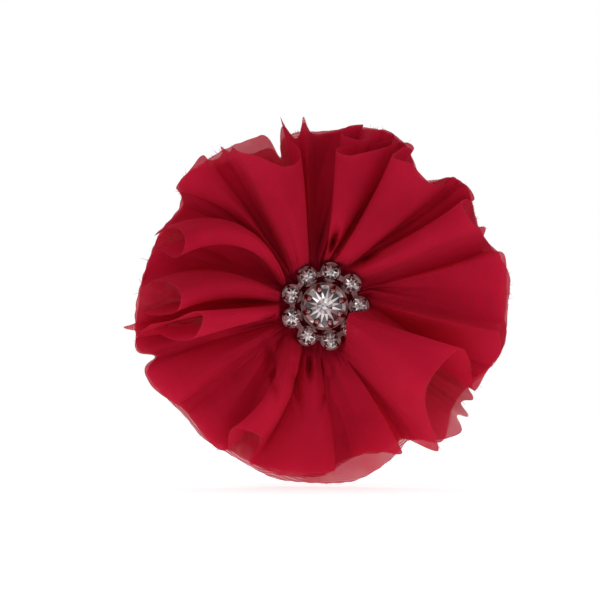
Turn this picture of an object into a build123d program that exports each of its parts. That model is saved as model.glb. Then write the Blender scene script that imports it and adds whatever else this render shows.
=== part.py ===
from build123d import *
import os
from math import acos, atan2, cos, degrees, hypot, radians, sin, tan

# A chiffon flower on an alligator hair clip, in millimetres.
# The pieces are drawn with the flower lying face up: X to the right, Y up the
# flower, Z towards the viewer. At the end they are all turned upright as worn,
# so that the flower faces -Y and the clip is behind it, on the +Y side.
# The origin is on the flower's own axis, on the face of the upper arm that grips the hair.

# Clip: an upper arm glued to the flower, a lower jaw that turns on the pin, and a spring
SHEET = 0.5
ARM_LENGTH = 46.0
ARM_WIDTH = 8.0
ARM_CORNER = 1.6
TIP_X = ARM_LENGTH / 2
PIVOT_X = -8.0
PIVOT_Z = -2.8
PIN_RADIUS = 0.8
PIN_HEAD_RADIUS = 1.25
PIN_HEAD_LENGTH = 0.4
PIN_RUNNING_CLEARANCE = 0.05
EAR_RADIUS = 2.4
EAR_HALF_BASE = 4.6
EAR_GAP = 0.1
JAW_HALF_WIDTH = ARM_WIDTH / 2 - SHEET - EAR_GAP
JAW_EAR_RADIUS = 2.2
TEETH = 8
TOOTH_DEPTH = 0.8
TOOTH_GAP = 0.15
TEETH_START_X = 11.6
FLANGE_EDGE_Z = -1.15
WEB_TIP_Z = -1.5
WEB_HEEL_X = -4.0
WEB_HEEL_Z = -5.9
LEVER_START_X = -10.6
LEVER_START_Z = -6.2
PAD_START_X = -17.5
PAD_Z = -9.2
PAD_END_X = -23.6

# Torsion spring round the pin
WIRE_RADIUS = 0.3
COIL_RADIUS = 1.45
COIL_PITCH = 0.75
COIL_TURNS = 4
COIL_STEP = 30.0
LEG_SHARES = (0, 1 / 3, 2 / 3)
LEG_END_X = -16.0
LEG_CLEARANCE = 0.04

# Felt and glue behind the flower
GLUE_PAD = 0.3
GLUE_PAD_LENGTH = 27.6
GLUE_PAD_WIDTH = 6.4
GLUE_PAD_X = 1.0
FELT = 1.2
FELT_RADIUS = 17.0
PATCH_LENGTH = 12.0
PATCH_WIDTH = 13.0
PATCH_FELT = 0.8
PATCH_CLEARANCE = 0.05
PATCH_X = 4.0
FELT_BACK_Z = SHEET + GLUE_PAD
FELT_FRONT_Z = FELT_BACK_Z + FELT

# Ruffles: three gathered layers of chiffon, drawn tight on a thread round the middle
FLOWER_WIDTH = 100.0
FLOWER_HEIGHT = 95.0
FLOWER_CENTRE = (-1.4, 1.0)
GATHER_HOLE = 6.5
GATHER_THICKNESS = 1.7
GATHER_GAP = 0.1
LAYER_SHRINK = {"ruffle_bottom": 0.955, "ruffle_middle": 0.98, "ruffle_top": 1.0}
LOBES = {"ruffle_bottom": 11, "ruffle_middle": 12, "ruffle_top": 13}
LOBE_DEPTH = 0.02
POINTS_PER_LOBE = 6
# Heights above the felt at each radius, under the layers and over them
STATIONS = [GATHER_HOLE, 11.8, 15.0, 21.0, 30.0, 40.0, 53.0]
SURFACES = [
    [0.0, 0.0, 0.0, 0.0, -0.4, -1.7, -4.6],
    [1.75, 1.75, 2.0, 2.4, 2.5, 1.6, -1.0],
    [3.55, 3.55, 4.6, 6.0, 7.0, 6.6, 3.6],
    [5.3, 5.3, 11.5, 16.5, 20.5, 21.5, 18.0],
]
FLUTES = 13
FLUTE_START = 15.0
FLUTE_END = 56.0
FLUTE_RADII = (0.8, 9.0)
FLUTE_AXIS_HEIGHT = 19.5
THREAD_RADIUS = 0.2
GLUE_CORE_RADIUS = 6.0
GLUE_CAP_RADIUS = 6.2

# Jewel: a ring of nine small stones round one large stone
HUB_RADIUS = 5.6
SPOKE_WIDTH = 1.4
SPOKE_END_RADIUS = 9.6
PLATE = 0.5
PLATE_Z = FELT_FRONT_Z + 5.5
SETTING_Z = PLATE_Z + PLATE
RING_STONES = 9
RING_RADIUS = 8.95
RING_STONE = 4.4
RING_CUP_RADIUS = 2.65
RING_PRONGS = 4
RING_PRONG_START = 45.0
RING_PRONG_RADIUS = 0.44
CENTRE_STONE = 10.9
CENTRE_CUP_RADIUS = 6.05
CENTRE_PRONGS = 8
CENTRE_PRONG_START = 18.0
CENTRE_PRONG_RADIUS = 0.8
LINK_WIDTH = 1.3
LINK_THICKNESS = 0.45

# Proportions of a brilliant-cut stone, as shares of its diameter
TABLE_RADIUS = 0.27
CROWN_HEIGHT = 0.17
GIRDLE_HEIGHT = 0.02
CROWN_MAIN_ANGLE = 36.5
CROWN_STAR_ANGLE = 21.0
CROWN_HALF_ANGLE = 43.0
PAVILION_MAIN_ANGLE = 40.0
PAVILION_HALF_ANGLE = 42.0
MAIN_FACETS = 8

# Proportions of a cup and its prong tips, as shares of the stone's diameter
SEAT_WIDTH = 0.06
PRONG_TIP_INSET = 0.09
PRONG_TIP_RISE = 0.105
CUP_FLOOR = 0.25
CULET_GAP = 0.05

TOP_TOOTH_Z = -TOOTH_GAP
HALF_PLATE = ARM_WIDTH / 2
WELL_PAST = 60.0
FROM_BASE = (Align.CENTER, Align.CENTER, Align.MIN)
FROM_TOP = (Align.CENTER, Align.CENTER, Align.MAX)


def side_plate(outline, half_width):
    """A plate of sheet metal drawn in side view, on both sides of the clip."""
    section = Plane.XZ * outline
    plate = extrude(section, SHEET / 2, both=True)
    inset = half_width - SHEET / 2
    return plate.moved(Location((0, inset, 0))) + plate.moved(Location((0, -inset, 0)))


def across(outline, half_width):
    """A strip of sheet metal drawn in side view, right across the clip."""
    return extrude(Plane.XZ * outline, half_width, both=True)


def pivot_bore(radius):
    """A cylinder on the hinge's axis, right across the clip."""
    bore = Cylinder(radius, WELL_PAST, rotation=(90, 0, 0))
    return bore.moved(Location((PIVOT_X, 0, PIVOT_Z)))


def make_upper_arm():
    """The straight arm, with an ear folded back on each side to hold the pin."""
    outline = RectangleRounded(ARM_LENGTH, ARM_WIDTH, ARM_CORNER)
    plate = extrude(outline, SHEET)
    base = SHEET / 2
    flare = Polygon(
        (PIVOT_X - EAR_HALF_BASE, base),
        (PIVOT_X - EAR_RADIUS, PIVOT_Z),
        (PIVOT_X + EAR_RADIUS, PIVOT_Z),
        (PIVOT_X + EAR_HALF_BASE, base),
        align=None,
    )
    ear = flare + Pos(PIVOT_X, PIVOT_Z) * Circle(EAR_RADIUS)
    return plate + side_plate(ear, HALF_PLATE) - pivot_bore(PIN_RADIUS)


def web_outline():
    """The jaw's back in side view: blade, heel, lever and flat thumb pad."""
    back = [
        (TIP_X, WEB_TIP_Z),
        (WEB_HEEL_X, WEB_HEEL_Z),
        (LEVER_START_X, LEVER_START_Z),
        (PAD_START_X, PAD_Z),
        (PAD_END_X, PAD_Z),
    ]
    line = Polyline(*back)
    return trace(line, SHEET)


def flange_outline():
    """One side of the jaw: a wall between the web and the teeth, and the ear at the pivot."""
    blade = Polygon(
        (TIP_X, WEB_TIP_Z),
        (TIP_X, TOP_TOOTH_Z),
        (TEETH_START_X, TOP_TOOTH_Z),
        (TEETH_START_X - TOOTH_DEPTH, FLANGE_EDGE_Z),
        (PIVOT_X, FLANGE_EDGE_Z),
        (LEVER_START_X, LEVER_START_Z),
        (WEB_HEEL_X, WEB_HEEL_Z),
        align=None,
    )
    pitch = (TIP_X - TEETH_START_X) / TEETH
    for tooth in range(TEETH):
        middle = TEETH_START_X + (tooth + 0.5) * pitch
        notch = Polygon(
            (middle - pitch / 2, TOP_TOOTH_Z + TOOTH_GAP),
            (middle, TOP_TOOTH_Z - TOOTH_DEPTH),
            (middle + pitch / 2, TOP_TOOTH_Z + TOOTH_GAP),
            align=None,
        )
        blade -= notch
    ear = Pos(PIVOT_X, PIVOT_Z) * Circle(JAW_EAR_RADIUS)
    clear_of_arm = Pos(PIVOT_X, PIVOT_Z + JAW_EAR_RADIUS + EAR_RADIUS) * Rectangle(
        4 * EAR_RADIUS, 2 * EAR_RADIUS
    )
    return blade - clear_of_arm + ear


def make_lower_jaw():
    """The toothed jaw and its lever, a channel of sheet metal that turns on the pin."""
    jaw = across(web_outline(), JAW_HALF_WIDTH) + side_plate(flange_outline(), JAW_HALF_WIDTH)
    rounded = RectangleRounded(ARM_LENGTH + SHEET, 2 * JAW_HALF_WIDTH, ARM_CORNER)
    plan = extrude(rounded, WELL_PAST, both=True)
    return (jaw & plan) - pivot_bore(PIN_RADIUS + PIN_RUNNING_CLEARANCE)


def make_hinge_pin():
    """A rivet: a shank pressed in the upper arm's ears, with a flat head on each end."""
    shank = Cylinder(PIN_RADIUS, ARM_WIDTH)
    reach = HALF_PLATE + PIN_HEAD_LENGTH / 2
    head = Cylinder(PIN_HEAD_RADIUS, PIN_HEAD_LENGTH)
    head = chamfer(head.edges().group_by(Axis.Z)[-1], PIN_HEAD_LENGTH / 2)
    pin = shank + head.moved(Location((0, 0, reach)))
    pin += head.rotate(Axis.X, 180).moved(Location((0, 0, -reach)))
    return pin.rotate(Axis.X, 90).moved(Location((PIVOT_X, 0, PIVOT_Z)))


def leaving_bearing(side, end_x, end_z):
    """Bearing round the pin, in degrees, where a straight leg to that end leaves the coil."""
    reach = hypot(end_x, end_z)
    return degrees(atan2(end_z, end_x)) - side * degrees(acos(COIL_RADIUS / reach))


def lever_wall_z(x):
    """Height of the middle of the lever's wall, between the heel and the thumb pad."""
    share = (x - LEVER_START_X) / (PAD_START_X - LEVER_START_X)
    return LEVER_START_Z + share * (PAD_Z - LEVER_START_Z)


def make_torsion_spring():
    """One bent wire: a coil round the pin, with a straight leg under each lever."""
    lever_slope = atan2(LEVER_START_Z - PAD_Z, LEVER_START_X - PAD_START_X)
    lift = (WIRE_RADIUS + SHEET / 2 + LEG_CLEARANCE) / cos(lever_slope)
    end_x = LEG_END_X - PIVOT_X
    upper_z = -WIRE_RADIUS - LEG_CLEARANCE - PIVOT_Z
    lower_z = lever_wall_z(LEG_END_X) + lift - PIVOT_Z
    first = leaving_bearing(-1, end_x, lower_z)
    last = leaving_bearing(1, end_x, upper_z)
    turned = (last - first) % 360 + 360 * COIL_TURNS
    half_length = COIL_PITCH * turned / 360 / 2
    steps = round(turned / COIL_STEP)
    coil = []
    for step in range(steps + 1):
        share = step / steps
        bearing = radians(first + turned * share)
        y = half_length * (1 - 2 * share)
        coil.append(Vector(COIL_RADIUS * cos(bearing), y, COIL_RADIUS * sin(bearing)))
    lower_end = Vector(end_x, half_length, lower_z)
    upper_end = Vector(end_x, -half_length, upper_z)
    lower_leg = [lower_end + (coil[0] - lower_end) * share for share in LEG_SHARES]
    upper_leg = [upper_end + (coil[-1] - upper_end) * share for share in LEG_SHARES]
    wire = Spline(*lower_leg, *coil, *reversed(upper_leg))
    section = Plane(lower_end, z_dir=coil[0] - lower_end) * Circle(WIRE_RADIUS)
    return sweep(section, path=wire).moved(Location((PIVOT_X, 0, PIVOT_Z)))


def make_felt_backing():
    """The felt disc that the layers are stitched to."""
    disc = Cylinder(FELT_RADIUS, FELT, align=FROM_BASE)
    disc = fillet(disc.edges(), FELT / 4)
    return disc.moved(Location((0, 0, FELT_BACK_Z)))


def make_felt_keeper():
    """A patch of felt folded over the upper arm and glued to the backing on both sides."""
    low = -PATCH_FELT - PATCH_CLEARANCE
    outer = Box(PATCH_LENGTH, PATCH_WIDTH, FELT_BACK_Z - low, align=FROM_BASE)
    outer = outer.moved(Location((PATCH_X, 0, low)))
    channel_width = ARM_WIDTH + 2 * PATCH_CLEARANCE
    channel_height = FELT_BACK_Z + PATCH_CLEARANCE
    channel = Box(2 * PATCH_LENGTH, channel_width, channel_height, align=FROM_BASE)
    return outer - channel.moved(Location((PATCH_X, 0, -PATCH_CLEARANCE)))


def make_glue_pad():
    """Glue between the upper arm and the felt backing."""
    pad = extrude(RectangleRounded(GLUE_PAD_LENGTH, GLUE_PAD_WIDTH, ARM_CORNER), GLUE_PAD)
    return pad.moved(Location((GLUE_PAD_X, 0, SHEET)))


def lobed_outline(shrink, lobes):
    """The flower's outline seen from the front: an oval with shallow lobes."""
    count = lobes * POINTS_PER_LOBE
    points = []
    for step in range(count):
        angle = 360 * step / count
        wave = 1 - LOBE_DEPTH * (1 - cos(radians(lobes * angle)))
        x = FLOWER_CENTRE[0] + FLOWER_WIDTH / 2 * shrink * wave * cos(radians(angle))
        y = FLOWER_CENTRE[1] + FLOWER_HEIGHT / 2 * shrink * wave * sin(radians(angle))
        points.append((x, y))
    return make_face(Spline(*points, periodic=True))


def make_ruffle(name, under, over):
    """One gathered layer between two surfaces of revolution, trimmed to its lobed outline."""
    lower = [(r, FELT_FRONT_Z + z) for r, z in zip(STATIONS, under)]
    upper = [(r, FELT_FRONT_Z + z - GATHER_GAP / 2) for r, z in zip(STATIONS, over)]
    section = Plane.XZ * make_face(Polyline(*lower, *reversed(upper), close=True))
    saucer = revolve(section, Axis.Z)
    outline = lobed_outline(LAYER_SHRINK[name], LOBES[name])
    return saucer & extrude(outline, WELL_PAST, both=True)


def cut_flutes(ruffle):
    """The hollows between the standing folds, which widen from the jewel to the rim."""
    length = FLUTE_END - FLUTE_START
    flute = Cone(*FLUTE_RADII, length, align=FROM_BASE)
    axis_z = FELT_FRONT_Z + FLUTE_AXIS_HEIGHT
    flute = flute.rotate(Axis.Y, 90).moved(Location((FLUTE_START, 0, axis_z)))
    for index in range(FLUTES):
        ruffle -= flute.rotate(Axis.Z, 360 * (index + 0.5) / FLUTES)
    return ruffle


def make_gathering_thread(layer):
    """The loop of thread that draws one layer tight round the middle."""
    height = (layer + 0.5) * (GATHER_THICKNESS + GATHER_GAP)
    ring = Torus(GATHER_HOLE - THREAD_RADIUS, THREAD_RADIUS)
    return ring.moved(Location((0, 0, FELT_FRONT_Z + height)))


def make_glue_core():
    """Hot glue that fills the middle of the flower and spreads under the jewel's plate."""
    stem_height = SURFACES[-1][0]
    stem = Cylinder(GLUE_CORE_RADIUS, stem_height, align=FROM_BASE)
    cap_height = PLATE_Z - FELT_FRONT_Z - stem_height
    cap = Cylinder(GLUE_CAP_RADIUS, cap_height, align=FROM_BASE)
    core = stem + cap.moved(Location((0, 0, stem_height)))
    return core.moved(Location((0, 0, FELT_FRONT_Z)))


def make_base_plate():
    """The stamped frame under the jewel: a hub for the large cup and a spoke for each small one."""
    hub = Cylinder(HUB_RADIUS, PLATE, align=FROM_BASE)
    arm = Box(SPOKE_END_RADIUS, SPOKE_WIDTH, PLATE, align=(Align.MIN, Align.CENTER, Align.MIN))
    for index in range(RING_STONES):
        hub += arm.rotate(Axis.Z, 360 * index / RING_STONES)
    return hub.moved(Location((0, 0, PLATE_Z)))


def facet_cut(stone, bearing, radius, height, tilt, side):
    """Grind one flat facet: side 1 is on the crown and side -1 on the pavilion."""
    outward = Vector(sin(radians(tilt)), 0, side * cos(radians(tilt)))
    point = Vector(radius, 0, height).rotate(Axis.Z, bearing)
    facet = Plane(point, z_dir=outward.rotate(Axis.Z, bearing))
    return split(stone, bisect_by=facet, keep=Keep.BOTTOM)


def make_brilliant(diameter):
    """A brilliant-cut stone with its girdle at Z = 0, table up."""
    radius = diameter / 2
    girdle = GIRDLE_HEIGHT * diameter
    crown = CROWN_HEIGHT * diameter
    depth = radius * tan(radians(PAVILION_HALF_ANGLE)) + girdle
    blank = Cylinder(radius, crown + girdle, align=FROM_BASE)
    stone = blank + Cylinder(radius, depth, align=FROM_TOP)
    star_radius = TABLE_RADIUS * diameter
    main_pitch = 360 / MAIN_FACETS
    for index in range(MAIN_FACETS):
        main = main_pitch * index
        star = main + main_pitch / 2
        stone = facet_cut(stone, main, radius, girdle, CROWN_MAIN_ANGLE, 1)
        stone = facet_cut(stone, star, star_radius, girdle + crown, CROWN_STAR_ANGLE, 1)
        stone = facet_cut(stone, main, radius, 0, PAVILION_MAIN_ANGLE, -1)
    half_pitch = main_pitch / 2
    for index in range(2 * MAIN_FACETS):
        half = half_pitch * (index + 0.5)
        stone = facet_cut(stone, half, radius, girdle, CROWN_HALF_ANGLE, 1)
        stone = facet_cut(stone, half, radius, 0, PAVILION_HALF_ANGLE, -1)
    return stone


def make_cup(stone, stone_diameter, cup_radius, prongs, first_prong, prong_radius):
    """A round metal cup, floor at Z = 0, with prongs bent over the stone's crown."""
    stone_radius = stone_diameter / 2
    wall = cup_radius - stone_radius + SEAT_WIDTH * stone_diameter
    girdle_z = girdle_height(stone_diameter)
    wall_height = girdle_z - GIRDLE_HEIGHT * stone_diameter
    cup = Cylinder(cup_radius, wall_height, align=FROM_BASE)
    hollow = Cylinder(cup_radius - wall, wall_height, align=FROM_BASE)
    cup -= hollow.moved(Location((0, 0, CUP_FLOOR)))
    foot = Vector(cup_radius - prong_radius, 0, wall_height / 2)
    knee = Vector(cup_radius - prong_radius, 0, girdle_z)
    tip_radius = stone_radius - PRONG_TIP_INSET * stone_diameter
    tip = Vector(tip_radius, 0, girdle_z + PRONG_TIP_RISE * stone_diameter)
    lean = tip - knee
    prong = extrude(Plane(foot, z_dir=(0, 0, 1)) * Circle(prong_radius), (knee - foot).length)
    prong += extrude(Plane(knee, z_dir=lean) * Circle(prong_radius), lean.length)
    prong += Sphere(prong_radius).moved(Location(knee))
    prong += Sphere(prong_radius).moved(Location(tip))
    for index in range(prongs):
        cup += prong.rotate(Axis.Z, first_prong + 360 * index / prongs)
    seated = stone.moved(Location((0, 0, girdle_z)))
    return cup - seated


def girdle_height(stone_diameter):
    """How far the girdle stands above the cup's floor, with the culet just clear of it."""
    pavilion = stone_diameter / 2 * tan(radians(PAVILION_HALF_ANGLE))
    return CUP_FLOOR + pavilion + CULET_GAP


def make_link():
    """The short bar that joins two neighbouring cups of the ring."""
    pitch = 360 / RING_STONES
    middle = RING_RADIUS * cos(radians(pitch / 2))
    chord = 2 * RING_RADIUS * sin(radians(pitch / 2))
    bar = Box(LINK_WIDTH, chord, LINK_THICKNESS, align=FROM_BASE)
    bar = bar.moved(Location((middle, 0, SETTING_Z))).rotate(Axis.Z, pitch / 2)
    for bearing in (0, pitch):
        cup = Cylinder(RING_CUP_RADIUS, 4 * LINK_THICKNESS)
        bar -= cup.moved(Location((RING_RADIUS, 0, SETTING_Z))).rotate(Axis.Z, bearing)
    return bar


nodes = {
    "clip_upper_arm": make_upper_arm(),
    "clip_lower_jaw": make_lower_jaw(),
    "hinge_pin": make_hinge_pin(),
    "torsion_spring": make_torsion_spring(),
    "glue_pad": make_glue_pad(),
    "felt_keeper": make_felt_keeper(),
    "felt_backing": make_felt_backing(),
    "glue_core": make_glue_core(),
    "jewel_base_plate": make_base_plate(),
}

for layer, ruffle_name in enumerate(LAYER_SHRINK):
    body = make_ruffle(ruffle_name, SURFACES[layer], SURFACES[layer + 1])
    if ruffle_name == "ruffle_top":
        body = cut_flutes(body)
    nodes[ruffle_name] = body
    thread_name = ruffle_name.replace("ruffle", "gathering_thread")
    nodes[thread_name] = make_gathering_thread(layer)

centre_stone = make_brilliant(CENTRE_STONE)
centre_cup = make_cup(
    centre_stone,
    CENTRE_STONE,
    CENTRE_CUP_RADIUS,
    CENTRE_PRONGS,
    CENTRE_PRONG_START,
    CENTRE_PRONG_RADIUS,
)
centre_girdle_z = SETTING_Z + girdle_height(CENTRE_STONE)
nodes["centre_cup"] = centre_cup.moved(Location((0, 0, SETTING_Z)))
nodes["centre_stone"] = centre_stone.moved(Location((0, 0, centre_girdle_z)))

ring_stone = make_brilliant(RING_STONE)
ring_cup = make_cup(
    ring_stone,
    RING_STONE,
    RING_CUP_RADIUS,
    RING_PRONGS,
    RING_PRONG_START,
    RING_PRONG_RADIUS,
)
ring_girdle_z = SETTING_Z + girdle_height(RING_STONE)
link = make_link()
for index in range(RING_STONES):
    bearing = 360 * index / RING_STONES
    set_cup = ring_cup.moved(Location((RING_RADIUS, 0, SETTING_Z)))
    set_stone = ring_stone.moved(Location((RING_RADIUS, 0, ring_girdle_z)))
    nodes[f"ring_cup_{index + 1}"] = set_cup.rotate(Axis.Z, bearing)
    nodes[f"ring_stone_{index + 1}"] = set_stone.rotate(Axis.Z, bearing)
    nodes[f"ring_link_{index + 1}"] = link.rotate(Axis.Z, bearing)

os.makedirs("parts", exist_ok=True)
for name, shape in nodes.items():
    upright = shape.rotate(Axis.X, 90)
    export_step(upright, f"parts/{name}.step")
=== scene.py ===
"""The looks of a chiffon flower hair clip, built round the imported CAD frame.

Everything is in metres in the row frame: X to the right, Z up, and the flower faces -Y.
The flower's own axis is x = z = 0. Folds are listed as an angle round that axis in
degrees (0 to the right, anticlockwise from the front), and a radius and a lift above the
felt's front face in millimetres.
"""

import math
import random

import bpy
import numpy as np
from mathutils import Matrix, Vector


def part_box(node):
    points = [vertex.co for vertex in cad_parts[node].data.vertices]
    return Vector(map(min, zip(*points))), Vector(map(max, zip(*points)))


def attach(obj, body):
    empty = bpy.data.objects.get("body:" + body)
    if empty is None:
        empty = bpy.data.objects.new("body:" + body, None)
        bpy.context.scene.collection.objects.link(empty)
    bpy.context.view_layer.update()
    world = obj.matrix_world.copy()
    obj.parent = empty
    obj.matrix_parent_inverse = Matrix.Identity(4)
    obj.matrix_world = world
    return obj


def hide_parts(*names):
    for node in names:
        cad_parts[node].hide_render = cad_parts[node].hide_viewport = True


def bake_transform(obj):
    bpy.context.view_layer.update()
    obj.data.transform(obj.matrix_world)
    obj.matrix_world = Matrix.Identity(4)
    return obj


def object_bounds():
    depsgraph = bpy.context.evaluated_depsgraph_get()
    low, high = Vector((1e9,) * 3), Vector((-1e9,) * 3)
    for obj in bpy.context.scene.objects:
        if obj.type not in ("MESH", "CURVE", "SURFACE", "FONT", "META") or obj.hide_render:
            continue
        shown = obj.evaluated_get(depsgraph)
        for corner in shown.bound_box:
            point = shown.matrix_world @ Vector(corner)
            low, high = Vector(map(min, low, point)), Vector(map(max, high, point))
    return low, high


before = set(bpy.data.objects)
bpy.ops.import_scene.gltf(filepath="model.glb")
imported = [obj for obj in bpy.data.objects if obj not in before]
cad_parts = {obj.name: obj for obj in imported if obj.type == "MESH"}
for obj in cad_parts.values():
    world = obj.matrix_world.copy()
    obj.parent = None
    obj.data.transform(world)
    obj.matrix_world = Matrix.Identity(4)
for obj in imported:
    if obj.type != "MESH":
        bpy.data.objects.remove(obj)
cad_low, cad_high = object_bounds()
MM = 0.001
TURN = 2 * math.pi

FELT_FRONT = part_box("felt_backing")[0][1]
PLATE_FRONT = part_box("jewel_base_plate")[0][1]
RING_COUNT = 9

# ---------------------------------------------------------------- camera, light and floor

# What the picture spans at the flower, and the point it is centred on, x and z, in metres
VIEW_WIDTH = 0.15625
VIEW_CENTRE = (-0.0064, 0.0016)
# The lens and the film width, in mm
LENS = 250.0
SENSOR = 36.0
CLIP_START = 0.05
CLIP_END = 20.0
# How strongly the room lights the flower from in front and from behind
FRONT_LIGHT = 0.35
BACK_LIGHT = 0.56
FLOOR_REACH = 0.6
FLOOR_GAP = 0.0005


def make_camera():
    """A long lens that looks straight at the flower's face."""
    data = bpy.data.cameras.new("camera")
    data.lens = LENS
    data.sensor_width = SENSOR
    camera = bpy.data.objects.new("camera", data)
    bpy.context.scene.collection.objects.link(camera)
    distance = VIEW_WIDTH * LENS / SENSOR
    camera.location = (VIEW_CENTRE[0], PLATE_FRONT - distance, VIEW_CENTRE[1])
    camera.rotation_euler = (math.pi / 2, 0, 0)
    data.clip_start = CLIP_START
    data.clip_end = CLIP_END
    bpy.context.scene.camera = camera


def add_area_light(name, place, size, watts):
    """A soft round white light aimed at the flower's centre."""
    data = bpy.data.lights.new(name, "AREA")
    data.shape = "DISK"
    data.size = size
    data.energy = watts
    lamp = bpy.data.objects.new(name, data)
    bpy.context.scene.collection.objects.link(lamp)
    lamp.location = place
    lamp.rotation_euler = (-Vector(place)).to_track_quat("-Z", "Y").to_euler()


def make_light():
    """A soft key light from the upper left and a weaker one from the right, in a white room."""
    scene = bpy.context.scene
    scene.view_settings.view_transform = "Standard"
    scene.world = make_world()
    add_area_light("key", (-0.5, -0.75, 0.65), 0.45, 0.95)
    add_area_light("side", (0.7, -0.5, 0.1), 0.6, 0.4)


def make_world():
    """A white room: plain white to the camera, and dimmer in front of the flower than behind it."""
    world = bpy.data.worlds.new("studio")
    world.use_nodes = True
    tree = world.node_tree
    background = tree.nodes["Background"]
    direction = node(tree, "ShaderNodeTexCoord").outputs["Generated"]
    depth = node(tree, "ShaderNodeSeparateXYZ", {"Vector": direction}).outputs["Y"]
    strength = remap(tree, depth, -0.6, 0.35, FRONT_LIGHT, BACK_LIGHT)
    seen = node(tree, "ShaderNodeLightPath").outputs["Is Camera Ray"]
    extra = math_node(tree, "MULTIPLY", seen, math_node(tree, "SUBTRACT", 1.0, strength))
    tree.links.new(math_node(tree, "ADD", strength, extra), background.inputs["Strength"])
    background.inputs["Color"].default_value = (1, 1, 1, 1)
    return world


# ---------------------------------------------------------------- node helpers


def node(tree, kind, inputs=None, **settings):
    """A new shader node. An input is a plain value, or another node's output to link."""
    made = tree.nodes.new(kind)
    for name, value in settings.items():
        setattr(made, name, value)
    for name, value in (inputs or {}).items():
        socket = made.inputs[name]
        if isinstance(value, bpy.types.NodeSocket):
            tree.links.new(value, socket)
        else:
            socket.default_value = value
    return made


def new_material(name):
    """An empty node material and its output node."""
    material = bpy.data.materials.new(name)
    material.use_nodes = True
    tree = material.node_tree
    tree.nodes.clear()
    return material, tree, tree.nodes.new("ShaderNodeOutputMaterial")


def math_node(tree, operation, a, b=0.0, clamp=False):
    """The result of one operation on values or sockets."""
    return node(
        tree, "ShaderNodeMath", {0: a, 1: b}, operation=operation, use_clamp=clamp
    ).outputs[0]


def mix_colour(tree, factor, a, b, blend="MIX"):
    """Colours a and b blended by the factor."""
    mixed = node(tree, "ShaderNodeMix", data_type="RGBA", blend_type=blend)
    for name, value in (("Factor_Float", factor), ("A_Color", a), ("B_Color", b)):
        socket = next(s for s in mixed.inputs if s.identifier == name)
        if isinstance(value, bpy.types.NodeSocket):
            tree.links.new(value, socket)
        else:
            socket.default_value = value
    return next(s for s in mixed.outputs if s.identifier == "Result_Color")


def remap(tree, value, low, high, to_low=0.0, to_high=1.0):
    """The value with its range from low to high stretched to the new one, and held there."""
    return node(
        tree,
        "ShaderNodeMapRange",
        {"Value": value, "From Min": low, "From Max": high, "To Min": to_low, "To Max": to_high},
    ).outputs["Result"]


def noise(tree, vector, scale, detail, roughness=0.5):
    return node(
        tree,
        "ShaderNodeTexNoise",
        {"Vector": vector, "Scale": scale, "Detail": detail, "Roughness": roughness},
    ).outputs["Fac"]


# ---------------------------------------------------------------- materials

# The chiffon's heavier weft lines and its fine yarns, in mm from one to the next
WEFT_PITCH = 0.6
YARN_PITCH = 0.34
# How far the gaps between the lines open where the cut edge is strained
PULLED_OPENNESS = 0.4
# How much of the light that falls on the cloth comes through it
LET_THROUGH = 0.46


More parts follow.
